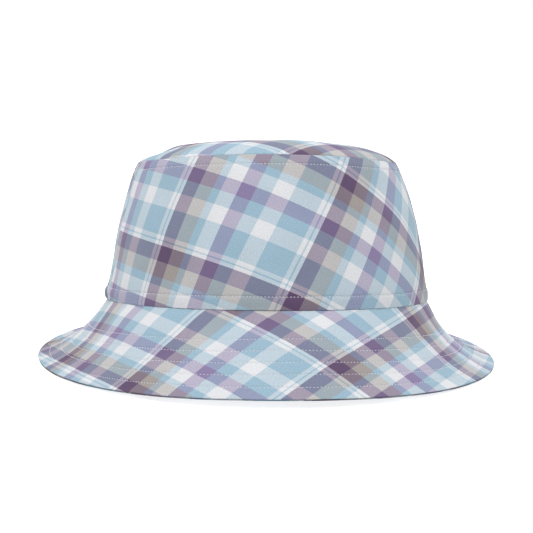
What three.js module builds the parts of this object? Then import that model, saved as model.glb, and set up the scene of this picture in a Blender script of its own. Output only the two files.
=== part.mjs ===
// Bucket hat: a sewn cloth hat with a lined crown and a stitched brim.
// Millimetres, +Z up. The front of the hat faces -Y and its left side faces -X.
// The origin is the middle of the brim's footprint, on the plane that the brim stands on.
// The crown leans back a little, so the brim falls steeply in front and lies flatter behind.
import * as THREE from 'three';

// ---- driving dimensions ----
// The three sewn rings are ellipses: the brim's edge, the crown's base seam and its top seam.
const brimEdge = { halfWidth: 127, halfLength: 147, centreY: 0, height: 2.4, leanBack: 0, saddle: 0 };
const crownBase = { halfWidth: 88.5, halfLength: 102.3, centreY: -3.2, height: 32.6, leanBack: 3.6, saddle: -0.8 };
const crownTop = { halfWidth: 71.9, halfLength: 79.5, centreY: 6, height: 108.1, leanBack: 3.5, saddle: -2 };
const tipRise = 9; // the top panel's height in its middle, over the top seam
const tipRoundness = 5; // the higher, the flatter the top panel is in its middle
const crownBulge = 2.8; // how far the side panels swell between their seams
const brimDip = 4.1; // how far the brim sags under a straight line from seam to edge, on average
const brimDipSides = 2.6; // more of that dip at the sides, less in front and behind
const brimDipBehind = 1.0; // more of that dip behind, less in front
const sideSeamAngle = 9; // degrees in front of the left and right sides
const columnAngle = 9; // degrees, one facet of every ring
const seamGap = 0.2; // half of the slit that stands for a closed seam
const endGap = 0.9; // how far a sheet stops short of the seam at its rim

// Depths of each cloth layer under the hat's outer surface.
const outerCloth = { top: 0, bottom: 0.7 };
const interlining = { top: 1.15, bottom: 1.45 };
const innerCloth = { top: 1.9, bottom: 2.4 };
const bandCloth = { top: 2.8, bottom: 3.6 };
const labelCloth = { top: 3.9, bottom: 4.4 };

// Rows of stitching.
const threadWidth = 0.5;
const threadLift = 0.35; // clear of the cloth under it
const brimRowPitch = 2 / 15; // of the brim's width
const brimRowCount = 5;
const lastBrimRow = 0.87; // the row nearest the edge, of the brim's width
const crownTopRow = 0.932; // of the crown's height
const crownBottomRow = 0.085;

const crownRows = [0.01, crownBottomRow, 0.36, 0.7, crownTopRow];
const brimRows = [0.012, 2 / 7, 4 / 7, 6 / 7];
const brimFoot = 0.96; // from here to the edge the brim's underside is flat
const tipRings = [0, 0.45, 0.8];
const bandTop = 0.36;

// ---- the hat's outer surfaces ----
const radians = THREE.MathUtils.degToRad;

function ringPoint(ring, angle) {
  const ahead = ring.halfLength * Math.sin(angle);
  return new THREE.Vector3(
    ring.halfWidth * Math.cos(angle),
    ring.centreY + ahead,
    ring.height - Math.tan(radians(ring.leanBack)) * ahead + ring.saddle * Math.cos(2 * angle),
  );
}

// height runs from 0 at the base seam to 1 at the top seam
function crownSurface(angle, height) {
  const swell = crownBulge * 4 * height * (1 - height);
  const outward = new THREE.Vector3(Math.cos(angle), Math.sin(angle), 0.2);
  return ringPoint(crownBase, angle)
    .lerp(ringPoint(crownTop, angle), height)
    .addScaledVector(outward, swell);
}

// reach runs from 0 at the crown to 1 at the brim's edge
function brimSurface(angle, reach) {
  const seam = ringPoint(crownBase, angle);
  const edge = ringPoint(brimEdge, angle);
  const along = edge.clone().sub(seam);
  const across = Math.hypot(along.x, along.y);
  const up = new THREE.Vector3(-along.x * along.z, -along.y * along.z, across * across).normalize();
  const deepest = brimDip + brimDipSides * Math.cos(2 * angle) + brimDipBehind * Math.sin(angle);
  return seam.lerp(edge, reach).addScaledVector(up, -deepest * 4 * reach * (1 - reach));
}

// radius runs from 0 in the middle of the top panel to 1 at its seam
function tipSurface(angle, radius) {
  const rim = ringPoint(crownTop, angle);
  const middle = new THREE.Vector3(0, crownTop.centreY, crownTop.height);
  const point = middle.lerp(rim, radius);
  point.z += tipRise * (1 - radius ** tipRoundness);
  return point;
}

// The surface's outward direction, from two short steps on it. A negative step of `along`
// is used where that parameter runs outward or downward.
function outwardAt(surface, angle, along, sense) {
  const step = 1e-3;
  const east = surface(angle + step, along).sub(surface(angle - step, along));
  const north = surface(angle, along + step).sub(surface(angle, along - step));
  return east.cross(north).multiplyScalar(sense).normalize();
}

function pointInCloth(surface, angle, along, depth, sense) {
  const normal = outwardAt(surface, angle, along, sense);
  return surface(angle, along).addScaledVector(normal, -depth);
}

// ---- solids ----
// Moves every vertex of a geometry to where `place` puts it.
function bend(geometry, place) {
  const positions = geometry.attributes.position;
  const vertex = new THREE.Vector3();
  for (let i = 0; i < positions.count; i += 1) {
    vertex.fromBufferAttribute(positions, i);
    const moved = place(vertex);
    positions.setXYZ(i, moved.x, moved.y, moved.z);
  }
  geometry.computeVertexNormals();
  return geometry;
}

// The facet corners between two angles in degrees, with a slit left at both ends.
function columnAngles(from, to) {
  const count = Math.round((to - from) / columnAngle);
  const slit = THREE.MathUtils.radToDeg(seamGap / crownBase.halfWidth);
  return Array.from({ length: count + 1 }, (_, i) => {
    if (i === 0) return radians(from + slit);
    if (i === count) return radians(to - slit);
    return radians(from + i * columnAngle);
  });
}

// A box grid bent into a sheet: its columns go round the hat, its rows up the hat, its depth through the cloth.
function sheet(columns, rows, place) {
  const grid = new THREE.BoxGeometry(1, 1, 1, columns.length - 1, rows.length - 1, 1);
  return bend(grid, (vertex) => {
    const column = Math.round((vertex.x + 0.5) * (columns.length - 1));
    const row = Math.round((vertex.y + 0.5) * (rows.length - 1));
    return place(columns[column], rows[row], vertex.z > 0);
  });
}

function crownSheet(columns, rows, cloth) {
  return sheet(columns, rows, (angle, height, outer) => (
    pointInCloth(crownSurface, angle, height, outer ? cloth.top : cloth.bottom, 1)
  ));
}

function brimSheet(columns, rows, cloth) {
  return sheet(columns, [...rows].reverse(), (angle, reach, outer) => (
    pointInCloth(brimSurface, angle, reach, outer ? cloth.top : cloth.bottom, -1)
  ));
}

// The brim's underside stands on the plane z = 0 along its edge.
function brimUndersideSheet(columns, rows, cloth) {
  return sheet(columns, [...rows].reverse(), (angle, reach, outer) => {
    const point = pointInCloth(brimSurface, angle, reach, outer ? cloth.top : cloth.bottom, -1);
    if (!outer && reach >= brimFoot) point.z = 0;
    return point;
  });
}

// A disc, turned from its half section, then domed.
function tipSheet(rings, cloth) {
  const half = 0.5;
  const under = rings.map((radius) => new THREE.Vector2(radius, -half));
  const over = [...rings].reverse().map((radius) => new THREE.Vector2(radius, half));
  const disc = new THREE.LatheGeometry([...under, ...over], 360 / columnAngle);
  disc.rotateX(Math.PI / 2);
  return bend(disc, (vertex) => {
    const radius = Math.hypot(vertex.x, vertex.y);
    const angle = Math.atan2(vertex.y, vertex.x);
    const depth = vertex.z > 0 ? cloth.top : cloth.bottom;
    if (radius < 1e-6) return tipSurface(0, 0).setZ(crownTop.height + tipRise - depth);
    return pointInCloth(tipSurface, angle, radius, depth, -1);
  });
}

// A row of stitching lies on the facets between two rows of the cloth's grid.
function threadOnFacets(surface, rows, columns, along, length, sense) {
  const next = Math.max(1, rows.findIndex((row) => row >= along - 1e-9));
  const facets = (angle, position) => {
    const share = (position - rows[next - 1]) / (rows[next] - rows[next - 1]);
    return surface(angle, rows[next - 1]).lerp(surface(angle, rows[next]), share);
  };
  const half = (sense * threadWidth) / 2 / length;
  return sheet(columns, [along - half, along + half], (angle, position, outer) => (
    pointInCloth(facets, angle, position, -(outer ? threadLift + threadWidth : threadLift), sense)
  ));
}

// ---- materials ----
const plaidCloth = new THREE.MeshStandardMaterial({ color: '#9db3c6', roughness: 0.85, metalness: 0 });
const stiffener = new THREE.MeshStandardMaterial({ color: '#e9e7e2', roughness: 0.95, metalness: 0 });
const liningCloth = new THREE.MeshStandardMaterial({ color: '#dfe4ea', roughness: 0.8, metalness: 0 });
const bandFabric = new THREE.MeshStandardMaterial({ color: '#c9d2dc', roughness: 0.9, metalness: 0 });
const thread = new THREE.MeshStandardMaterial({ color: '#f3f1f4', roughness: 0.7, metalness: 0 });
const labelFabric = new THREE.MeshStandardMaterial({ color: '#fbfbf8', roughness: 0.6, metalness: 0 });

const hat = new THREE.Group();

function addPiece(name, geometry, material) {
  const piece = new THREE.Mesh(geometry, material.clone());
  piece.name = name;
  hat.add(piece);
}

// ---- the crown: outer cloth, interlining and lining, each a front, a back and a tip ----
const front = columnAngles(-180 + sideSeamAngle, -sideSeamAngle);
const back = columnAngles(-sideSeamAngle, 180 + sideSeamAngle);
const wholeRing = columnAngles(-270, 90);
const crownSlope = crownTop.height - crownBase.height;

function addCrownLayer(prefix, suffix, cloth, material) {
  const topEnd = 1 - (cloth.bottom * 1.2 + endGap) / crownSlope;
  const rows = [...crownRows.filter((row) => row < topEnd), topEnd];
  const tipRim = 1 - (cloth.top + endGap / 3) / crownTop.halfWidth;
  addPiece(`${prefix}_front${suffix}`, crownSheet(front, rows, cloth), material);
  addPiece(`${prefix}_back${suffix}`, crownSheet(back, rows, cloth), material);
  addPiece(`${prefix}_tip${suffix}`, tipSheet([...tipRings, tipRim], cloth), material);
}

addCrownLayer('crown', '_panel', outerCloth, plaidCloth);
addCrownLayer('crown', '_interlining', interlining, stiffener);
addCrownLayer('crown', '_lining', innerCloth, liningCloth);

// ---- the brim: two plaid rings with an interlining between them, each closed by one seam behind ----
addPiece('brim_top', brimSheet(wholeRing, [...brimRows, brimFoot, 1], outerCloth), plaidCloth);
addPiece('brim_interlining', brimSheet(wholeRing, [...brimRows, brimFoot], interlining), stiffener);
addPiece('brim_underside', brimUndersideSheet(wholeRing, [...brimRows, brimFoot, 1], innerCloth), plaidCloth);

// ---- inside the crown's base: the sweatband, and a blank folded label sewn to it behind ----
addPiece('sweatband', crownSheet(wholeRing, [0.02, crownBottomRow, bandTop], bandCloth), bandFabric);
const labelColumns = [99, 108].map(radians);
addPiece('care_label', crownSheet(labelColumns, [crownBottomRow, bandTop], labelCloth), labelFabric);

// ---- rows of stitching ----
const brimWidth = ringPoint(crownBase, 0).distanceTo(ringPoint(brimEdge, 0));
for (let row = 0; row < brimRowCount; row += 1) {
  const reach = lastBrimRow - (brimRowCount - 1 - row) * brimRowPitch;
  const lengths = [...brimRows, brimFoot, 1];
  const stitches = threadOnFacets(brimSurface, lengths, wholeRing, reach, brimWidth, -1);
  addPiece(`brim_stitch_row_${row + 1}`, stitches, thread);
}
const crownLengths = [...crownRows, 1];
const crownHeight = ringPoint(crownBase, 0).distanceTo(ringPoint(crownTop, 0));
const topStitches = threadOnFacets(crownSurface, crownLengths, wholeRing, crownTopRow, crownHeight, 1);
const bottomStitches = threadOnFacets(crownSurface, crownLengths, wholeRing, crownBottomRow, crownHeight, 1);
addPiece('crown_top_stitch_row', topStitches, thread);
addPiece('crown_bottom_stitch_row', bottomStitches, thread);

export default hat;
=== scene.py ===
"""The looks of a plaid bucket hat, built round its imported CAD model.

Lengths are in millimetres until a mesh is made, in the frame of the CAD model: +Z is up and the front
of the hat faces -Y. An angle goes round the hat anticlockwise from +X, so the front is at -90 degrees.

Each cloth surface is a function of an angle and of how far across the piece a point lies. Every layer
of the hat is cut from those same surfaces at its own depth, so the layers follow each other.
"""

import math

import bpy
import numpy as np
from mathutils import Matrix, Vector


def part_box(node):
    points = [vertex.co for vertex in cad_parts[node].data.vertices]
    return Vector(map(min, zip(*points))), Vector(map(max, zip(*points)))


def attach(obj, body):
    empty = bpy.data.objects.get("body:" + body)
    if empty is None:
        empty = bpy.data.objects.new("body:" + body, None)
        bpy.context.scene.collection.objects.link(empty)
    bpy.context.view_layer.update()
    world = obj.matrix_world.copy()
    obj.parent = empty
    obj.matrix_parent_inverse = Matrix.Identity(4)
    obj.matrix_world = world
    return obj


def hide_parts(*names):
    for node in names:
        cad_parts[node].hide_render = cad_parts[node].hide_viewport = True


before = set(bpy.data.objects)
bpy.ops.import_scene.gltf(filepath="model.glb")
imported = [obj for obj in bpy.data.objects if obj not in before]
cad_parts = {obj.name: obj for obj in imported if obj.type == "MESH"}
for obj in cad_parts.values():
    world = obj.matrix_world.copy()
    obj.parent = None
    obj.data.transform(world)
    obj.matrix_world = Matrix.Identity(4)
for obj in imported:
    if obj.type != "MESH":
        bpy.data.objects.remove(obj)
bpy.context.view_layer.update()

MM = 0.001
TURN = 2 * math.pi


def box_mm(node):
    """The lowest and highest corner of a CAD node, in millimetres."""
    low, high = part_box(node)
    return np.array(low) / MM, np.array(high) / MM


# ---------------------------------------------------------------- driving dimensions

# Depth of each layer's outer and inner face below the outside of the hat.
OUTER_CLOTH = (0.0, 0.7)
INTERLINING = (1.15, 1.45)
INNER_CLOTH = (1.9, 2.4)
BAND_CLOTH = (2.8, 3.6)
LABEL_CLOTH = (3.9, 4.4)

SIDE_SEAM_ANGLE = 9.0
BAND_TOP = 0.36
BRIM_ROW_PITCH = 2 / 15
LAST_BRIM_ROW = 0.87
BRIM_ROWS = [LAST_BRIM_ROW - BRIM_ROW_PITCH * row for row in (4, 3, 2, 1, 0)]
CROWN_TOP_ROW = 0.932
CROWN_BOTTOM_ROW = 0.085

CROWN_BULGE = 2.4
BRIM_DIP = 3.75
BRIM_DIP_SIDES = 2.5
BRIM_DIP_BEHIND = 1.95
BRIM_DIP_RIGHT = 0.75
# The brim stands on its sides, which settle on the floor. Its edge lifts in front and behind,
# and is drawn in at two places, each given as an angle in degrees and an amount.
BRIM_LIFT = 2.3
BRIM_LIFT_SHARPNESS = 6
BRIM_SETTLES = 1.05
BRIM_DRAWN_IN = ((20, 3.4), (180, 0.85))
BRIM_DRAWN_IN_REACH = 35.0
TIP_ROUNDNESS = 5.0

# Unevenness of the cloth: height and size of the bumps, and a seed. A seam or an edge holds it flat nearby.
CROWN_WAVES = ((0.45, 34, 11), (0.2, 15, 12))
BRIM_WAVES = ((0.5, 38, 31), (0.2, 16, 32))
TIP_WAVES = ((0.55, 36, 51), (0.2, 16, 52))
CROWN_HELD_BY_SEAM = 9.0
BRIM_HELD_BY_SEAM = 8.0
BRIM_HELD_BY_EDGE = 14.0
TIP_HELD_BY_SEAM = 10.0
# A seam pulls the cloth in, over this distance each side of it.
SEAM_PULL_REACH = 3.2
SIDE_SEAM_PULL_REACH = 2.6
# A row of stitching presses a groove, with puckers beside it.
GROOVE_WIDTH = 0.6
CROWN_PUCKERS = 118
BRIM_PUCKERS = 140
TIP_PUCKERS = 110
# Radius of the fold where a cloth's edge is turned in.
TURNED_AT_TOP = 0.9
TURNED_AT_BASE = 0.5
TURNED_AT_SIDE = 0.6
TURNED_AT_BRIM_EDGE = 0.5
# The layers are pressed thinner near the brim's edge.
EDGE_PRESSED_BY = 0.45
EDGE_PRESSED_REACH = 4.0

STITCH_PITCH = 1.8
STITCH_SHARE = 0.74
THREAD_RADIUS = 0.16
STITCH_DIP = 0.36

PLAID_TILE = 73.17
# How the printed cloth measures against the finished shape: cloth pressed to shape eases and stretches.
CROWN_CLOTH_ROUND = 0.974
CROWN_CLOTH_HEIGHT = 1.043
BRIM_CLOTH_EDGE = 0.991
BRIM_CLOTH_SEAM = 0.954
BRIM_CLOTH_HEIGHT = 1.381


class Ring:
    """An oval line round the hat: a seam or the brim's edge."""

    def __init__(self, half_width, half_length, centre_y, height, lean_back, saddle):
        self.half_width = half_width
        self.half_length = half_length
        self.centre_y = centre_y
        self.height = height
        self.slope = math.tan(math.radians(lean_back))
        self.saddle = saddle

    def at(self, angle):
        along = self.half_length * np.sin(angle)
        x = self.half_width * np.cos(angle)
        z = self.height - self.slope * along + self.saddle * np.cos(2 * angle)
        return np.stack([x, self.centre_y + along, z], axis=-1)


class BrimEdge(Ring):
    """The brim's edge as it lies: a flat oval, lifted, settled and drawn in a little here and there."""

    def at(self, angle):
        point = super().at(angle)
        outward = np.stack([np.cos(angle), np.sin(angle), np.zeros_like(angle)], axis=-1)
        for degrees, amount in BRIM_DRAWN_IN:
            away = np.mod(angle - math.radians(degrees) + math.pi, TURN) - math.pi
            near = np.exp(-((away / math.radians(BRIM_DRAWN_IN_REACH)) ** 2))
            point -= outward * (amount * near)[..., None]
        point[..., 2] += BRIM_LIFT * np.sin(angle) ** BRIM_LIFT_SHARPNESS
        point[..., 2] -= BRIM_SETTLES * np.cos(angle) ** 2
        return point


brim_low, brim_high = box_mm("brim_top")

EDGE = BrimEdge(
    half_width=(brim_high[0] - brim_low[0]) / 2,
    half_length=(brim_high[1] - brim_low[1]) / 2,
    centre_y=(brim_high[1] + brim_low[1]) / 2,
    height=brim_low[2] + OUTER_CLOTH[1],
    lean_back=0,
    saddle=0,
)
SEAM = Ring(half_width=88.5, half_length=102.3, centre_y=-3.2, height=32.6, lean_back=3.6, saddle=-0.8)
TOP = Ring(half_width=71.9, half_length=79.5, centre_y=6.0, height=108.1, lean_back=3.5, saddle=-2.0)
TIP_RISE = 9.0


# ---------------------------------------------------------------- the surfaces


def crown_wall(angle, height):
    """The crown's side: height runs from 0 at the brim seam to 1 at the top seam."""
    part = height[..., None]
    outward = np.stack([np.cos(angle), np.sin(angle), np.full_like(angle, 0.2)], axis=-1)
    bulge = CROWN_BULGE * 4 * part * (1 - part)
    return SEAM.at(angle) * (1 - part) + TOP.at(angle) * part + outward * bulge


def brim_slope(angle, reach):
    """The brim: reach runs from 0 at the crown to 1 at the edge."""
    part = reach[..., None]
    inner = SEAM.at(angle)
    chord = EDGE.at(angle) - inner
    level = np.hypot(chord[..., 0], chord[..., 1])
    length = np.linalg.norm(chord, axis=-1)
    up = np.stack(
        [-chord[..., 2] * chord[..., 0] / level, -chord[..., 2] * chord[..., 1] / level, level], axis=-1
    )
    up = up / length[..., None]
    dip = BRIM_DIP + BRIM_DIP_SIDES * np.cos(2 * angle)
    dip += BRIM_DIP_BEHIND * np.sin(angle) + BRIM_DIP_RIGHT * np.cos(angle)
    return inner + chord * part - up * (dip[..., None] * 4 * part * (1 - part))


def crown_tip(angle, radius):
    """The top of the crown: radius runs from 0 in the middle to 1 at the top seam."""
    part = radius[..., None]
    middle = np.array([0.0, TOP.centre_y, TOP.height])
    point = middle * (1 - part) + TOP.at(angle) * part
    point[..., 2] += TIP_RISE * (1 - radius**TIP_ROUNDNESS)
    return point


def normal_of(surface, side, angle, across):
    """The outward direction of a surface. side is 1 or -1, as its angle and its across run."""
    step = 1e-4
    across = np.clip(across, 2 * step, None)
    round_it = surface(angle + step, across) - surface(angle - step, across)
    over_it = surface(angle, across + step) - surface(angle, across - step)
    normal = np.cross(round_it, over_it) * side
    return normal / np.linalg.norm(normal, axis=-1, keepdims=True)


# ---------------------------------------------------------------- how the cloth lies


def unevenness(points, size, seed):
    """A smooth, repeatable unevenness from about -1 to 1, with bumps about size across."""
    rng = np.random.default_rng(seed)
    waves = 18
    total = np.zeros(points.shape[:-1])
    for _ in range(waves):
        heading = rng.normal(size=3)
        heading /= np.linalg.norm(heading)
        length = 2 * size * rng.uniform(0.75, 1.6)
        total += np.sin(points @ heading * (TURN / length) + rng.uniform(0, TURN))
    return total / math.sqrt(waves)


def waves(points, table):
    """Several unevennesses added up. A table row holds a height in mm, a size in mm and a seed."""
    return sum(height * unevenness(points, size, seed) for height, size, seed in table)


def hollow(distance, width):
    """1 on a line, fading to 0 away from it."""
    return np.exp(-((distance / width) ** 2))


def turned_edge(distance, radius):
    """How far a turned-in edge has dropped at a distance from its fold: a quarter circle."""
    inside = np.clip(1 - distance / radius, 0, 1)
    return radius * (1 - np.sqrt(1 - np.minimum(inside, 0.995) ** 2))


def pucker(points, angle, waves, seed):
    """Small ripples across a row of stitching, uneven along the row."""
    drift = 2.5 * unevenness(points, 30, seed)
    strength = 0.6 + 0.4 * unevenness(points, 17, seed + 1)
    return np.sin(waves * angle + drift) * strength


def side_distance(angle, radius):
    """Distances round the crown: to the nearer side seam, behind the right one and behind the left one."""
    right = -math.radians(SIDE_SEAM_ANGLE)
    left = -math.pi + math.radians(SIDE_SEAM_ANGLE)
    to_right = np.mod(angle - right + math.pi, TURN) - math.pi
    to_left = np.mod(angle - left + math.pi, TURN) - math.pi
    nearer = np.minimum(np.abs(to_right), np.abs(to_left)) * radius
    return nearer, to_right * radius, -to_left * radius


def crown_relief(angle, height):
    points = crown_wall(angle, height)
    wall = np.linalg.norm(TOP.at(angle) - SEAM.at(angle), axis=-1)
    from_bottom = height * wall
    from_top = (1 - height) * wall
    radius = SEAM.half_width * (1 - height) + TOP.half_width * height
    side, behind_right, behind_left = side_distance(angle, radius)

    free = (1 - hollow(from_bottom, CROWN_HELD_BY_SEAM)) * (1 - hollow(from_top, CROWN_HELD_BY_SEAM))
    broad = free * waves(points, CROWN_WAVES)
    broad -= 0.45 * hollow(from_top, SEAM_PULL_REACH) + 0.35 * hollow(from_bottom, SEAM_PULL_REACH)
    broad -= 0.55 * hollow(side, SIDE_SEAM_PULL_REACH)
    # The back panel stands a little proud of the right side seam.
    puff = hollow(behind_right - 13, 10)
    broad += 1.3 * puff * free
    # The wall stands out a little just over the brim seam at each side, most at the left.
    pouch = 2.0 * hollow(behind_left - 14, 22) + 1.0 * hollow(behind_right - 8, 18)
    broad += pouch * hollow(from_bottom - 3, 4)
    # Over that it is drawn in at the left.
    broad -= 1.0 * hollow(behind_left, 32) * hollow(from_bottom - 20, 14)

    rows = ((CROWN_TOP_ROW, 1), (CROWN_BOTTOM_ROW, 2))
    fine = 0.05 * unevenness(points, 5, 13)
    for place, number in rows:
        away = (height - place) * wall
        fine -= 0.26 * hollow(away, GROOVE_WIDTH)
        fine += 0.11 * hollow(away, 3.0) * pucker(points, angle, CROWN_PUCKERS, 20 + number)
    fine -= turned_edge(from_top, TURNED_AT_TOP) + turned_edge(from_bottom, TURNED_AT_BASE)
    fine -= turned_edge(side, TURNED_AT_SIDE)
    return broad, fine


def brim_relief(angle, reach):
    points = brim_slope(angle, reach)
    width = np.linalg.norm(EDGE.at(angle) - SEAM.at(angle), axis=-1)
    from_seam = reach * width
    from_edge = (1 - reach) * width
    free = (1 - hollow(from_seam, BRIM_HELD_BY_SEAM)) * (1 - hollow(from_edge, BRIM_HELD_BY_EDGE))
    broad = free * waves(points, BRIM_WAVES)
    broad -= 0.5 * hollow(from_seam, 3.0)
    fine = 0.05 * unevenness(points, 5, 33)
    for number, place in enumerate(BRIM_ROWS):
        away = (reach - place) * width
        fine -= 0.24 * hollow(away, GROOVE_WIDTH)
        fine += 0.12 * hollow(away, 3.2) * pucker(points, angle, BRIM_PUCKERS, 40 + number)
    fine -= turned_edge(from_edge, TURNED_AT_BRIM_EDGE)
    return broad, fine


def tip_relief(angle, radius):
    points = crown_tip(angle, radius)
    reach = np.linalg.norm(TOP.at(angle) - np.array([0.0, TOP.centre_y, TOP.height]), axis=-1)
    from_rim = (1 - radius) * reach
    free = 1 - hollow(from_rim, TIP_HELD_BY_SEAM)
    broad = free * waves(points, TIP_WAVES)
    broad -= 0.45 * hollow(from_rim, 3.0)
    # The left shoulder has sunk: the dome only starts a little way in from the seam there.
    from_left = np.mod(angle, TURN) - math.pi
    broad -= 1.6 * hollow(from_left, 0.75) * hollow(from_rim - 11, 7)
    fine = 0.04 * unevenness(points, 5, 53)
    fine += 0.1 * hollow(from_rim - 2, 3.5) * pucker(points, angle, TIP_PUCKERS, 54)
    fine -= turned_edge(from_rim, TURNED_AT_TOP)
    return broad, fine


def evenly(angle, across):
    return np.ones_like(angle)


def pressed_edge(angle, reach):
    """The brim's layers are pressed together at its edge."""
    width = np.linalg.norm(EDGE.at(angle) - SEAM.at(angle), axis=-1)
    return 1 - EDGE_PRESSED_BY * hollow((1 - reach) * width, EDGE_PRESSED_REACH)


class Skin:
    """A surface of the hat with its outward side, the way its cloth lies and how thick its layers are."""

    def __init__(self, surface, side, relief, thickness):
        self.surface = surface
        self.side = side
        self.relief = relief
        self.thickness = thickness

    def point(self, angle, across, depth, fine_share):
        """A point at a depth under the skin. fine_share is how much of the fine relief shows there."""
        broad, fine = self.relief(angle, across)
        normal = normal_of(self.surface, self.side, angle, across)
        lift = broad + fine * fine_share - depth * self.thickness(angle, across)
        return self.surface(angle, across) + normal * lift[..., None]


CROWN = Skin(crown_wall, 1, crown_relief, evenly)
BRIM = Skin(brim_slope, -1, brim_relief, pressed_edge)
TIP = Skin(crown_tip, -1, tip_relief, evenly)


# ---------------------------------------------------------------- flat patterns


def meet(start, end, from_start, from_end, side):
    """The flat point at two known distances from two others."""
    way = end - start
    span = np.hypot(*way)
    way = way / span
    along = (from_start**2 - from_end**2 + span**2) / (2 * span)
    off = math.sqrt(max(from_start**2 - along**2, 0))
    return start + way * along + np.array([-way[1], way[0]]) * side * off


class CutRing:
    """A ring as its printed cloth measures it: scaled round the hat and in height."""

    def __init__(self, ring, round_scale, height_scale):
        self.ring = ring
        self.middle = np.array([0, ring.centre_y, 0])
        self.scale = np.array([round_scale, round_scale, height_scale])

    def at(self, angle):
        return (self.ring.at(angle) - self.middle) * self.scale + self.middle


class FlatPattern:
    """A strip of cloth between two rings, laid flat as it was cut. Its origin is the brim seam at middle."""

    def __init__(self, low_ring, high_ring, middle, seam_is_low):
        columns = 241
        self.angles = np.linspace(middle - math.pi, middle + math.pi, columns)
        low = low_ring.at(self.angles)
        high = high_ring.at(self.angles)
        flat_low = np.zeros((columns, 2))
        flat_high = np.zeros((columns, 2))
        flat_high[0] = (0, np.linalg.norm(high[0] - low[0]))
        for k in range(columns - 1):
            along_low = np.linalg.norm(low[k + 1] - low[k])
            cross = np.linalg.norm(low[k + 1] - high[k])
            flat_low[k + 1] = meet(flat_low[k], flat_high[k], along_low, cross, -1)
            rung = np.linalg.norm(high[k + 1] - low[k + 1])
            along_high = np.linalg.norm(high[k + 1] - high[k])
            flat_high[k + 1] = meet(flat_low[k + 1], flat_high[k], rung, along_high, -1)
        centre = columns // 2
        origin = (flat_low if seam_is_low else flat_high)[centre]
        rung = flat_high[centre] - flat_low[centre]
        turn = math.atan2(rung[1], rung[0]) - math.pi / 2
        spin = np.array([[math.cos(turn), math.sin(turn)], [-math.sin(turn), math.cos(turn)]])
        self.low = (flat_low - origin) @ spin.T
        self.high = (flat_high - origin) @ spin.T

    def at(self, angle, share):
        """share is 0 on the low ring and 1 on the high ring."""
        low = np.stack([np.interp(angle, self.angles, self.low[:, k]) for k in range(2)], axis=-1)
        high = np.stack([np.interp(angle, self.angles, self.high[:, k]) for k in range(2)], axis=-1)
        return low * (1 - share[..., None]) + high * share[..., None]


FRONT = -0.5 * math.pi
BACK = 0.5 * math.pi
CROWN_RINGS = (
    CutRing(SEAM, CROWN_CLOTH_ROUND, CROWN_CLOTH_HEIGHT),
    CutRing(TOP, CROWN_CLOTH_ROUND, CROWN_CLOTH_HEIGHT),
)
BRIM_RINGS = (
    CutRing(EDGE, BRIM_CLOTH_EDGE, BRIM_CLOTH_HEIGHT),
    CutRing(SEAM, BRIM_CLOTH_SEAM, BRIM_CLOTH_HEIGHT),
)
CROWN_FRONT_PATTERN = FlatPattern(*CROWN_RINGS, FRONT, True)
CROWN_BACK_PATTERN = FlatPattern(*CROWN_RINGS, BACK, True)
BRIM_PATTERN = FlatPattern(*BRIM_RINGS, FRONT, False)


def crown_front_flat(angle, height):
    return CROWN_FRONT_PATTERN.at(angle, height)


def crown_back_flat(angle, height):
    return CROWN_BACK_PATTERN.at(angle, height)


def brim_flat(angle, reach):
    return BRIM_PATTERN.at(angle, 1 - reach)


def tip_flat(angle, radius):
    point = crown_tip(angle, radius)
    return np.stack([point[..., 0], point[..., 1] - TOP.centre_y], axis=-1)


class Cut:
    """How a piece was laid on the cloth: its flat shape, its turn and where the plaid starts."""

    def __init__(self, flat, turn, start_u=0.0, start_v=0.0):
        self.flat = flat
        self.turn = math.radians(turn)
        self.start = (start_u * PLAID_TILE, start_v * PLAID_TILE)

    def at(self, angle, across):
        flat = self.flat(angle, across)
        cos, sin = math.cos(self.turn), math.sin(self.turn)
        u = flat[..., 0] * cos + flat[..., 1] * sin + self.start[0]
        v = flat[..., 0] * sin - flat[..., 1] * cos + self.start[1]
        return np.stack([u, v], axis=-1)


CROWN_FRONT_CUT = Cut(crown_front_flat, -24.70, 1.0056, 0.1514)
CROWN_BACK_CUT = Cut(crown_back_flat, -24.7, 0.145, 0.30)
BRIM_TOP_CUT = Cut(brim_flat, 46.32, 0.2235, 0.4039)
BRIM_UNDER_CUT = Cut(brim_flat, 45.0, 0.55, 0.25)
TIP_CUT = Cut(tip_flat, 47.5, 0.74, 0.20)
PLAIN_FRONT_CUT = Cut(crown_front_flat, 0)
PLAIN_BACK_CUT = Cut(crown_back_flat, 0)
PLAIN_TIP_CUT = Cut(tip_flat, 0)
PLAIN_BRIM_CUT = Cut(brim_flat, 0)


# ---------------------------------------------------------------- meshes


def crowded(start, stop, step, lines=(), reach=0.0, fine_step=1.0):
    """Places from start to stop, a step apart, and closer together within reach of each line."""
    count = max(2, int(round((stop - start) / step)) + 1)
    places = list(np.linspace(start, stop, count))
    for line in lines:
        extra = np.arange(line - reach, line + reach + fine_step / 2, fine_step)
        places += [p for p in extra if start < p < stop]
    places = np.unique(np.round(places, 6))
    kept = [places[0]]
    least = min(fine_step, step)
    for place in places[1:-1]:
        if place - kept[-1] > 0.45 * least and places[-1] - place > 0.3 * least:
            kept.append(place)
    kept.append(places[-1])
    return np.array(kept)


def squeezed(places, start_inset, stop_inset):
    """The same places drawn in from both ends."""
    low, high = places[0], places[-1]
    share = (places - low) / (high - low)
    return (low + start_inset) + share * ((high - stop_inset) - (low + start_inset))


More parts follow.
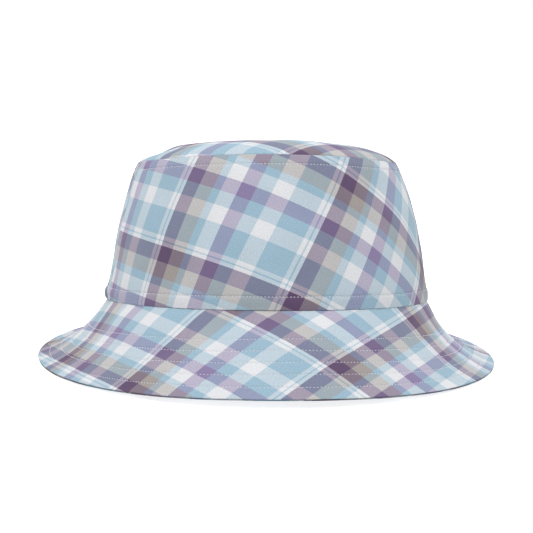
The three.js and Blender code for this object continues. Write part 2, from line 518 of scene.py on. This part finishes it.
def add_mesh(name, points, faces, flat):
    """A smooth mesh object from points in millimetres and lists of faces, with its flat-pattern map."""
    mesh = bpy.data.meshes.new(name)
    mesh.from_pydata((points * MM).tolist(), [], faces)
    layer = mesh.uv_layers.new(name="flat_mm")
    corners = np.empty(len(mesh.loops), dtype=np.int32)
    mesh.loops.foreach_get("vertex_index", corners)
    layer.data.foreach_set("uv", flat[corners].astype(np.float32).ravel())
    mesh.polygons.foreach_set("use_smooth", np.ones(len(mesh.polygons), dtype=bool))
    mesh.validate()
    mesh.update()
    piece = bpy.data.objects.new(name, mesh)
    bpy.context.scene.collection.objects.link(piece)
    return piece


def sheet_faces(columns, rows):
    """Quads of a closed sheet: an outer face, an inner face, and a wall round all four borders."""
    number = np.arange(columns * rows).reshape(columns, rows)
    inner = number + columns * rows
    a, b, c, d = number[:-1, :-1], number[1:, :-1], number[1:, 1:], number[:-1, 1:]
    outer_quads = np.stack([a, b, c, d], axis=-1).reshape(-1, 4)
    under_quads = (np.stack([a, d, c, b], axis=-1) + columns * rows).reshape(-1, 4)
    rim = np.concatenate([number[:-1, 0], number[-1, :-1], number[:0:-1, -1], number[0, :0:-1]])
    rim_inner = np.concatenate([inner[:-1, 0], inner[-1, :-1], inner[:0:-1, -1], inner[0, :0:-1]])
    walls = np.stack([np.roll(rim, -1), rim, rim_inner, np.roll(rim_inner, -1)], axis=-1)
    return np.concatenate([outer_quads, under_quads, walls])


def cloth_sheet(name, skin, cut, angles, acrosses, layer, fine, inset):
    """A closed sheet of cloth between two depths under a skin. inset draws in its inner face."""
    angle, across = np.meshgrid(angles, acrosses, indexing="ij")
    turn_inset, start_inset, stop_inset = inset
    inner_angles = squeezed(angles, turn_inset, turn_inset)
    inner_acrosses = squeezed(acrosses, start_inset, stop_inset)
    inner_angle, inner_across = np.meshgrid(inner_angles, inner_acrosses, indexing="ij")
    outer = skin.point(angle, across, layer[0], fine)
    inner = skin.point(inner_angle, inner_across, layer[1], 0.0)
    points = np.concatenate([outer.reshape(-1, 3), inner.reshape(-1, 3)])
    points[:, 2] = np.maximum(points[:, 2], 0.0)
    outer_flat = cut.at(angle, across).reshape(-1, 2)
    inner_flat = cut.at(inner_angle, inner_across).reshape(-1, 2)
    flat = np.concatenate([outer_flat, inner_flat])
    faces = sheet_faces(len(angles), len(acrosses))
    if skin.side < 0:
        faces = faces[:, ::-1]
    return add_mesh(name, points, faces.tolist(), flat)


def finish_piece(piece, material, slot, *nodes):
    piece.data.materials.append(material)
    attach(piece, "root")
    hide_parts(*nodes)


# ---------------------------------------------------------------- materials


def new_material(name):
    material = bpy.data.materials.new(name)
    material.use_nodes = True
    nodes = material.node_tree.nodes
    nodes.clear()
    output = nodes.new("ShaderNodeOutputMaterial")
    shader = nodes.new("ShaderNodeBsdfPrincipled")
    material.node_tree.links.new(shader.outputs["BSDF"], output.inputs["Surface"])
    return material, shader


class Wiring:
    """Short ways to add the nodes that the cloths share."""

    def __init__(self, material):
        self.nodes = material.node_tree.nodes
        self.links = material.node_tree.links

    def plug(self, value, socket):
        if isinstance(value, (int, float, tuple)):
            socket.default_value = value
        else:
            self.links.new(value, socket)

    def maths(self, kind, first, second=0.0):
        node = self.nodes.new("ShaderNodeMath")
        node.operation = kind
        self.plug(first, node.inputs[0])
        self.plug(second, node.inputs[1])
        return node.outputs[0]

    def flat_place(self):
        """The two flat-pattern distances, in millimetres."""
        place = self.nodes.new("ShaderNodeUVMap")
        place.uv_map = "flat_mm"
        split = self.nodes.new("ShaderNodeSeparateXYZ")
        self.links.new(place.outputs["UV"], split.inputs[0])
        return place.outputs["UV"], split.outputs["X"], split.outputs["Y"]

    def noise(self, place, scale, detail):
        node = self.nodes.new("ShaderNodeTexNoise")
        self.links.new(place, node.inputs["Vector"])
        node.inputs["Scale"].default_value = scale
        node.inputs["Detail"].default_value = detail
        return node.outputs["Fac"]

    def stripes(self, place, bands):
        """One run of coloured stripes, each band a share of the run and a colour."""
        node = self.nodes.new("ShaderNodeValToRGB")
        ramp = node.color_ramp
        ramp.interpolation = "CONSTANT"
        total = sum(width for width, _ in bands)
        start = 0.0
        for number, (width, colour) in enumerate(bands):
            stop = ramp.elements[0] if number == 0 else ramp.elements.new(start / total)
            stop.position = start / total
            stop.color = (*colour, 1.0)
            start += width
        ramp.elements.remove(ramp.elements[-1])
        self.links.new(place, node.inputs["Fac"])
        return node.outputs["Color"]

    def mix(self, share, first, second, blend="MIX"):
        node = self.nodes.new("ShaderNodeMix")
        node.data_type = "RGBA"
        node.blend_type = blend
        self.plug(share, node.inputs[0])
        self.plug(first, node.inputs[6])
        self.plug(second, node.inputs[7])
        return node.outputs[2]

    def bump(self, height, distance, strength, before=None):
        node = self.nodes.new("ShaderNodeBump")
        node.inputs["Strength"].default_value = strength
        node.inputs["Distance"].default_value = distance
        self.links.new(height, node.inputs["Height"])
        if before is not None:
            self.links.new(before, node.inputs["Normal"])
        return node.outputs["Normal"]

    def wave(self, place, pitch):
        return self.maths("SINE", self.maths("MULTIPLY", place, math.pi / pitch))


PLUM = (0.384, 0.298, 0.428)
TAUPE = (0.655, 0.625, 0.610)
SKY = (0.626, 0.752, 0.826)
WHITE = (0.922, 0.927, 0.941)
LILAC = (0.564, 0.507, 0.668)

PLAID_BANDS = [
    (69, PLUM),
    (69, TAUPE),
    (37, SKY),
    (70, WHITE),
    (65, LILAC),
    (67, SKY),
    (78, WHITE),
    (122, SKY),
    (20, WHITE),
    (8, SKY),
    (18, WHITE),
]

# The stripes mix as they look on a screen, so they are kept as screen values and turned to light here.
SCREEN_GAMMA = 2.2
PLAID_GAIN = 0.724


def plaid_material():
    """Fine plain-woven cloth in a blue, white, lilac, plum and taupe plaid."""
    material, shader = new_material("plaid_cloth")
    wiring = Wiring(material)
    place, u, v = wiring.flat_place()
    warp = wiring.stripes(wiring.maths("FRACT", wiring.maths("DIVIDE", u, PLAID_TILE)), PLAID_BANDS)
    weft = wiring.stripes(wiring.maths("FRACT", wiring.maths("DIVIDE", v, PLAID_TILE)), PLAID_BANDS)
    yarn = 0.42
    crossing = wiring.maths("MULTIPLY", wiring.wave(u, yarn), wiring.wave(v, yarn))
    share = wiring.maths("ADD", wiring.maths("MULTIPLY", crossing, 0.22), 0.5)
    colour = wiring.mix(share, warp, weft)
    fleck = wiring.maths("ADD", wiring.maths("MULTIPLY", wiring.noise(place, 1.5, 4.0), 0.28), 0.86)
    patch = wiring.maths("ADD", wiring.maths("MULTIPLY", wiring.noise(place, 0.05, 2.0), 0.05), 0.975)
    tone = wiring.maths("MULTIPLY", wiring.maths("MULTIPLY", fleck, patch), PLAID_GAIN)
    grey = wiring.nodes.new("ShaderNodeCombineColor")
    for channel in ("Red", "Green", "Blue"):
        wiring.links.new(tone, grey.inputs[channel])
    colour = wiring.mix(1.0, colour, grey.outputs[0], "MULTIPLY")
    light = wiring.nodes.new("ShaderNodeGamma")
    light.inputs["Gamma"].default_value = SCREEN_GAMMA
    wiring.links.new(colour, light.inputs["Color"])
    wiring.links.new(light.outputs[0], shader.inputs["Base Color"])
    weave = wiring.maths("ABSOLUTE", crossing)
    normal = wiring.bump(weave, 0.00006, 0.35)
    normal = wiring.bump(wiring.noise(place, 0.9, 2.0), 0.00015, 0.25, normal)
    wiring.links.new(normal, shader.inputs["Normal"])
    rough = wiring.maths("ADD", wiring.maths("MULTIPLY", wiring.noise(place, 1.1, 2.0), 0.12), 0.78)
    wiring.links.new(rough, shader.inputs["Roughness"])
    shader.inputs["Specular IOR Level"].default_value = 0.22
    shader.inputs["Sheen Weight"].default_value = 0.08
    shader.inputs["Sheen Roughness"].default_value = 0.5
    return material


def plain_material(name, colour, yarn, twill, rough, sheen):
    """Cloth of one colour: a plain weave, or a twill whose rib climbs one yarn at each crossing."""
    material, shader = new_material(name)
    wiring = Wiring(material)
    place, u, v = wiring.flat_place()
    if twill:
        rib = wiring.wave(wiring.maths("ADD", u, v), yarn)
        weave = wiring.maths("MULTIPLY", rib, rib)
    else:
        crossing = wiring.maths("MULTIPLY", wiring.wave(u, yarn), wiring.wave(v, yarn))
        weave = wiring.maths("ABSOLUTE", crossing)
    fleck = wiring.noise(place, 1.3, 3.0)
    # The colour is painted darker in the gaps between the yarns, where the weave is low: painted shade. The
    # fleck varies the tone at random.
    dark = tuple(0.86 * part for part in colour) + (1.0,)
    weave_shade = wiring.maths("MULTIPLY", weave, 0.55)
    shade = wiring.maths("ADD", weave_shade, wiring.maths("MULTIPLY", fleck, 0.45))
    base = wiring.mix(shade, dark, (*colour, 1.0))
    wiring.links.new(base, shader.inputs["Base Color"])
    normal = wiring.bump(weave, 0.00008, 0.45)
    wiring.links.new(normal, shader.inputs["Normal"])
    roughness = wiring.maths("ADD", wiring.maths("MULTIPLY", fleck, 0.12), rough)
    wiring.links.new(roughness, shader.inputs["Roughness"])
    shader.inputs["Sheen Weight"].default_value = sheen
    shader.inputs["Specular IOR Level"].default_value = 0.25
    return material


def thread_material():
    """Twisted sewing thread: fine slanting plies."""
    material, shader = new_material("thread")
    wiring = Wiring(material)
    place, u, v = wiring.flat_place()
    ply = wiring.wave(wiring.maths("ADD", u, v), 0.22)
    # The thread is painted darker in the grooves between its plies: painted shade.
    shade = wiring.maths("ADD", wiring.maths("MULTIPLY", ply, 0.25), 0.7)
    base = wiring.mix(shade, (0.28, 0.28, 0.32, 1.0), (0.52, 0.52, 0.56, 1.0))
    wiring.links.new(base, shader.inputs["Base Color"])
    wiring.links.new(wiring.bump(ply, 0.00004, 0.5), shader.inputs["Normal"])
    rough = wiring.maths("ADD", wiring.maths("MULTIPLY", wiring.noise(place, 2.0, 2.0), 0.1), 0.55)
    wiring.links.new(rough, shader.inputs["Roughness"])
    shader.inputs["Sheen Weight"].default_value = 0.1
    return material


PLAID = plaid_material()
LINING = plain_material("lining_cloth", (0.50, 0.56, 0.63), 0.30, False, 0.55, 0.05)
BAND = plain_material("band_cloth", (0.36, 0.43, 0.52), 0.85, True, 0.75, 0.15)
STIFFENER = plain_material("interlining", (0.62, 0.60, 0.54), 0.60, False, 0.85, 0.0)
LABEL = plain_material("label_cloth", (0.80, 0.80, 0.78), 0.20, True, 0.40, 0.05)
THREAD = thread_material()


# ---------------------------------------------------------------- the sewn pieces

COLUMN_STEP = math.radians(0.62)
SEAM_GAP = 0.00035
NO_INSET = (0, 0, 0)
RIGHT_SEAM = -math.radians(SIDE_SEAM_ANGLE)
LEFT_SEAM = -math.pi + math.radians(SIDE_SEAM_ANGLE)


class Part:
    """One layer: its depths, how much fine relief shows, its cloth, and how far its edges draw in."""

    start = 0.002
    stop = 0.998

    def __init__(self, label, depths, fine, material, slot, inset):
        self.label = label
        self.depths = depths
        self.fine = fine
        self.material = material
        self.slot = slot
        self.inset = inset


OUTER = Part("cloth", OUTER_CLOTH, 1.0, PLAID, "plaid_cloth", (0.006, 0.008, 0.008))
STIFF = Part("stiffener", INTERLINING, 0.0, STIFFENER, "interlining", NO_INSET)
INSIDE = Part("inside", INNER_CLOTH, 0.0, LINING, "lining_cloth", NO_INSET)
# The brim's cloth starts just under the crown's lower edge, and its stiffener stops short of the fold.
OUTER.start = -0.012
STIFF.stop = 0.965
UNDER = Part("under_cloth", INNER_CLOTH, 0.0, PLAID, "plaid_cloth", NO_INSET)


def make_crown_panel(name, part, cut, start, stop, node):
    edge = math.radians(1.6)
    edge_step = math.radians(0.16)
    angles = crowded(start + SEAM_GAP, stop - SEAM_GAP, COLUMN_STEP, (start, stop), edge, edge_step)
    heights = crowded(0.002, 0.998, 0.0135, (0.0, 1.0, CROWN_TOP_ROW, CROWN_BOTTOM_ROW), 0.024, 0.004)
    piece = cloth_sheet(name, CROWN, cut, angles, heights, part.depths, part.fine, part.inset)
    finish_piece(piece, part.material, part.slot, node)


def make_crown(part, front_node, back_node, front_cut, back_cut):
    make_crown_panel(f"crown_front_{part.label}", part, front_cut, LEFT_SEAM, RIGHT_SEAM, front_node)
    make_crown_panel(f"crown_back_{part.label}", part, back_cut, RIGHT_SEAM, LEFT_SEAM + TURN, back_node)


def make_tip(part, cut, node):
    """The round top panel: rings of quads round a fan of triangles, over and under."""
    columns = 480
    angles = np.arange(columns) * TURN / columns
    radii = crowded(0.03, 0.9985, 0.026, (1.0,), 0.06, 0.006)
    angle, radius = np.meshgrid(angles, radii, indexing="ij")
    inner_radius = radius * (1 - 0.012 * (part.depths[1] - part.depths[0]))
    faces_of_sheet = ((radius, part.depths[0], part.fine), (inner_radius, part.depths[1], 0.0))
    rings = [TIP.point(angle, place, depth, fine).reshape(-1, 3) for place, depth, fine in faces_of_sheet]
    centre = np.zeros((1, 1))
    middles = [TIP.point(centre, centre, depth, fine).reshape(1, 3) for _, depth, fine in faces_of_sheet]
    flats = [cut.at(angle, place).reshape(-1, 2) for place, _, _ in faces_of_sheet]
    middle_flats = [cut.at(centre, centre).reshape(1, 2)] * 2
    size = angle.size
    number = np.arange(size).reshape(angle.shape)
    after = np.roll(number, -1, axis=0)
    over = np.stack([number[:, :-1], number[:, 1:], after[:, 1:], after[:, :-1]], axis=-1).reshape(-1, 4)
    under = over[:, ::-1] + size
    rim = np.stack([number[:, -1], number[:, -1] + size, after[:, -1] + size, after[:, -1]], axis=-1)
    over_fan = np.stack([number[:, 0], after[:, 0], np.full(columns, 2 * size)], axis=-1)
    under_fan = np.stack([after[:, 0] + size, number[:, 0] + size, np.full(columns, 2 * size + 1)], axis=-1)
    faces = [face for group in (over, under, rim, over_fan, under_fan) for face in group.tolist()]
    points = np.concatenate(rings + middles)
    piece = add_mesh(f"crown_tip_{part.label}", points, faces, np.concatenate(flats + middle_flats))
    finish_piece(piece, part.material, part.slot, node)


def make_brim(part, cut, node, column_step):
    angles = crowded(FRONT - math.pi + SEAM_GAP, FRONT + math.pi - SEAM_GAP, column_step)
    reaches = crowded(part.start, part.stop, 0.022, (0.0, 1.0, *BRIM_ROWS), 0.030, 0.0075)
    name = f"brim_{part.label}"
    piece = cloth_sheet(name, BRIM, cut, angles, reaches, part.depths, part.fine, part.inset)
    finish_piece(piece, part.material, part.slot, node)


def make_sweatband():
    angles = crowded(FRONT - math.pi + SEAM_GAP, FRONT + math.pi - SEAM_GAP, math.radians(1.0))
    heights = crowded(0.012, BAND_TOP, 0.02)
    cut, layer = PLAIN_FRONT_CUT, BAND_CLOTH
    piece = cloth_sheet("sweatband_tape", CROWN, cut, angles, heights, layer, 0.0, NO_INSET)
    finish_piece(piece, BAND, "band_cloth", "sweatband")


def label_relief(angle, height):
    """The label is sewn at its foot and curls away from the band above it."""
    curl = 2.2 * np.clip((height - 0.08) / 0.25, 0, 1) ** 2
    return -curl, np.zeros_like(angle)


def make_label():
    angles = np.linspace(math.radians(99), math.radians(108), 28)
    heights = np.linspace(0.06, 0.33, 40)
    curled = Skin(crown_wall, 1, label_relief, evenly)
    cut, layer = PLAIN_BACK_CUT, LABEL_CLOTH
    piece = cloth_sheet("blank_care_label", curled, cut, angles, heights, layer, 0.0, NO_INSET)
    finish_piece(piece, LABEL, "label_cloth", "care_label")


def make_stitches(name, skin, across, node, seed, rise):
    """A row of separate stitches, each dipping into the cloth at both ends."""
    rng = np.random.default_rng(seed)
    all_angles = np.linspace(FRONT - math.pi, FRONT + math.pi, 4001)
    line = skin.point(all_angles, np.full_like(all_angles, across), 0.0, 1.0)
    run = np.concatenate([[0], np.cumsum(np.linalg.norm(np.diff(line, axis=0), axis=1))])
    count = int(round(run[-1] / STITCH_PITCH))
    pitch = run[-1] / count
    rings, sides = 7, 6
    share = np.linspace(0, 1, rings)
    begin = (np.arange(count) + rng.uniform(-0.06, 0.06, count)) * pitch
    span = pitch * STITCH_SHARE * rng.uniform(0.92, 1.06, count)
    place = np.clip(begin[:, None] + span[:, None] * share, 0, run[-1])
    angle = np.interp(place, run, all_angles)
    slant = rng.uniform(-0.0016, 0.0016, count)[:, None] * (share - 0.5)
    height = across + slant
    arch = 1 - (2 * share - 1) ** 4
    lift = rise * THREAD_RADIUS * arch - STITCH_DIP * (1 - arch)
    normal = normal_of(skin.surface, skin.side, angle, height)
    centre = skin.point(angle, height, 0.0, 1.0) + normal * lift[None, :, None]
    along = np.gradient(centre, axis=1)
    along /= np.linalg.norm(along, axis=-1, keepdims=True)
    sideways = np.cross(along, normal)
    upright = np.cross(sideways, along)
    turn = np.arange(sides) * TURN / sides
    spokes = np.cos(turn)[:, None] * sideways[:, :, None, :]
    spokes = spokes + np.sin(turn)[:, None] * upright[:, :, None, :]
    points = centre[:, :, None, :] + THREAD_RADIUS * spokes
    number = np.arange(count * rings * sides).reshape(count, rings, sides)
    ahead = np.roll(number, -1, axis=2)
    tubes = np.stack([number[:, :-1], ahead[:, :-1], ahead[:, 1:], number[:, 1:]], axis=-1).reshape(-1, 4)
    ends = np.concatenate([number[:, 0, ::-1], number[:, -1, :]])
    flat_u = np.repeat(place[:, :, None], sides, axis=2)
    flat_v = np.broadcast_to(turn * THREAD_RADIUS, flat_u.shape)
    flat = np.stack([flat_u, flat_v], axis=-1).reshape(-1, 2)
    piece = add_mesh(name, points.reshape(-1, 3), tubes.tolist() + ends.tolist(), flat)
    finish_piece(piece, THREAD, "thread", node)


make_crown(OUTER, "crown_front_panel", "crown_back_panel", CROWN_FRONT_CUT, CROWN_BACK_CUT)
make_crown(STIFF, "crown_front_interlining", "crown_back_interlining", PLAIN_FRONT_CUT, PLAIN_BACK_CUT)
make_crown(INSIDE, "crown_front_lining", "crown_back_lining", PLAIN_FRONT_CUT, PLAIN_BACK_CUT)
make_tip(OUTER, TIP_CUT, "crown_tip_panel")
make_tip(STIFF, PLAIN_TIP_CUT, "crown_tip_interlining")
make_tip(INSIDE, PLAIN_TIP_CUT, "crown_tip_lining")
make_brim(OUTER, BRIM_TOP_CUT, "brim_top", math.radians(0.66))
make_brim(STIFF, PLAIN_BRIM_CUT, "brim_interlining", math.radians(1.2))
make_brim(UNDER, BRIM_UNDER_CUT, "brim_underside", math.radians(0.9))
make_sweatband()
make_label()
for number, place in enumerate(BRIM_ROWS, start=1):
    make_stitches(f"brim_stitches_{number}", BRIM, place, f"brim_stitch_row_{number}", 60 + number, 0.35)
make_stitches("crown_top_stitches", CROWN, CROWN_TOP_ROW, "crown_top_stitch_row", 71, 0.25)
make_stitches("crown_bottom_stitches", CROWN, CROWN_BOTTOM_ROW, "crown_bottom_stitch_row", 72, 0.1)


# ---------------------------------------------------------------- floor, light and camera


FLOOR_GREY = 0.55
FLOOR_GLOW = 0.75
HAT_MIDDLE = (0, 0, 0.05)


def make_floor():
    size = 6.0
    mesh = bpy.data.meshes.new("floor")
    corners = [(-size, -size, 0), (size, -size, 0), (size, size, 0), (-size, size, 0)]
    mesh.from_pydata(corners, [], [(0, 1, 2, 3)])
    floor = bpy.data.objects.new("floor", mesh)
    bpy.context.scene.collection.objects.link(floor)
    material, shader = new_material("pale_floor")
    shader.inputs["Base Color"].default_value = (FLOOR_GREY, FLOOR_GREY, FLOOR_GREY, 1)
    shader.inputs["Roughness"].default_value = 0.9
    shader.inputs["Specular IOR Level"].default_value = 0.0
    # A floor that glows hardly takes a shadow, as on a light table.
    shader.inputs["Emission Color"].default_value = (1, 1, 1, 1)
    shader.inputs["Emission Strength"].default_value = FLOOR_GLOW
    mesh.materials.append(material)


def make_light(name, place, aim, size, power):
    data = bpy.data.lights.new(name, "AREA")
    data.shape = "DISK"
    data.size = size
    data.energy = power
    light = bpy.data.objects.new(name, data)
    light.location = place
    light.rotation_euler = (Vector(aim) - Vector(place)).to_track_quat("-Z", "Y").to_euler()
    bpy.context.scene.collection.objects.link(light)


def make_sky(strength):
    world = bpy.data.worlds.new("studio")
    world.use_nodes = True
    background = world.node_tree.nodes["Background"]
    background.inputs["Color"].default_value = (1, 1, 1, 1)
    background.inputs["Strength"].default_value = strength
    bpy.context.scene.world = world


def make_camera():
    """A long lens a little above the hat, a few degrees round it, level but for a slight roll."""
    azimuth, elevation, roll = math.radians(3.735), math.radians(6.98), math.radians(0.674)
    distance = 0.8173
    aim = Vector((-0.00043, -0.00318, 0.04899))
    focal_px, image_px = 1474.3, 533
    forward = Vector(
        (
            math.sin(azimuth) * math.cos(elevation),
            math.cos(azimuth) * math.cos(elevation),
            -math.sin(elevation),
        )
    )
    data = bpy.data.cameras.new("camera")
    data.sensor_width = 36.0
    data.lens = focal_px / image_px * data.sensor_width
    data.clip_end = 50
    camera = bpy.data.objects.new("camera", data)
    camera.location = aim - forward * distance
    upright = forward.to_track_quat("-Z", "Y").to_matrix()
    camera.rotation_euler = (upright @ Matrix.Rotation(roll, 3, "Z")).to_euler()
    bpy.context.scene.collection.objects.link(camera)
    bpy.context.scene.camera = camera


bpy.context.scene.view_settings.view_transform = "Standard"
make_floor()
make_sky(1.0)
make_light("key", place=(-0.35, -0.4, 2.6), aim=HAT_MIDDLE, size=1.6, power=70)
make_light("fill", place=(1.5, -0.9, 1.4), aim=HAT_MIDDLE, size=1.6, power=6)
make_camera()


def corners(bounds):
    return [list(corner) for corner in bounds]
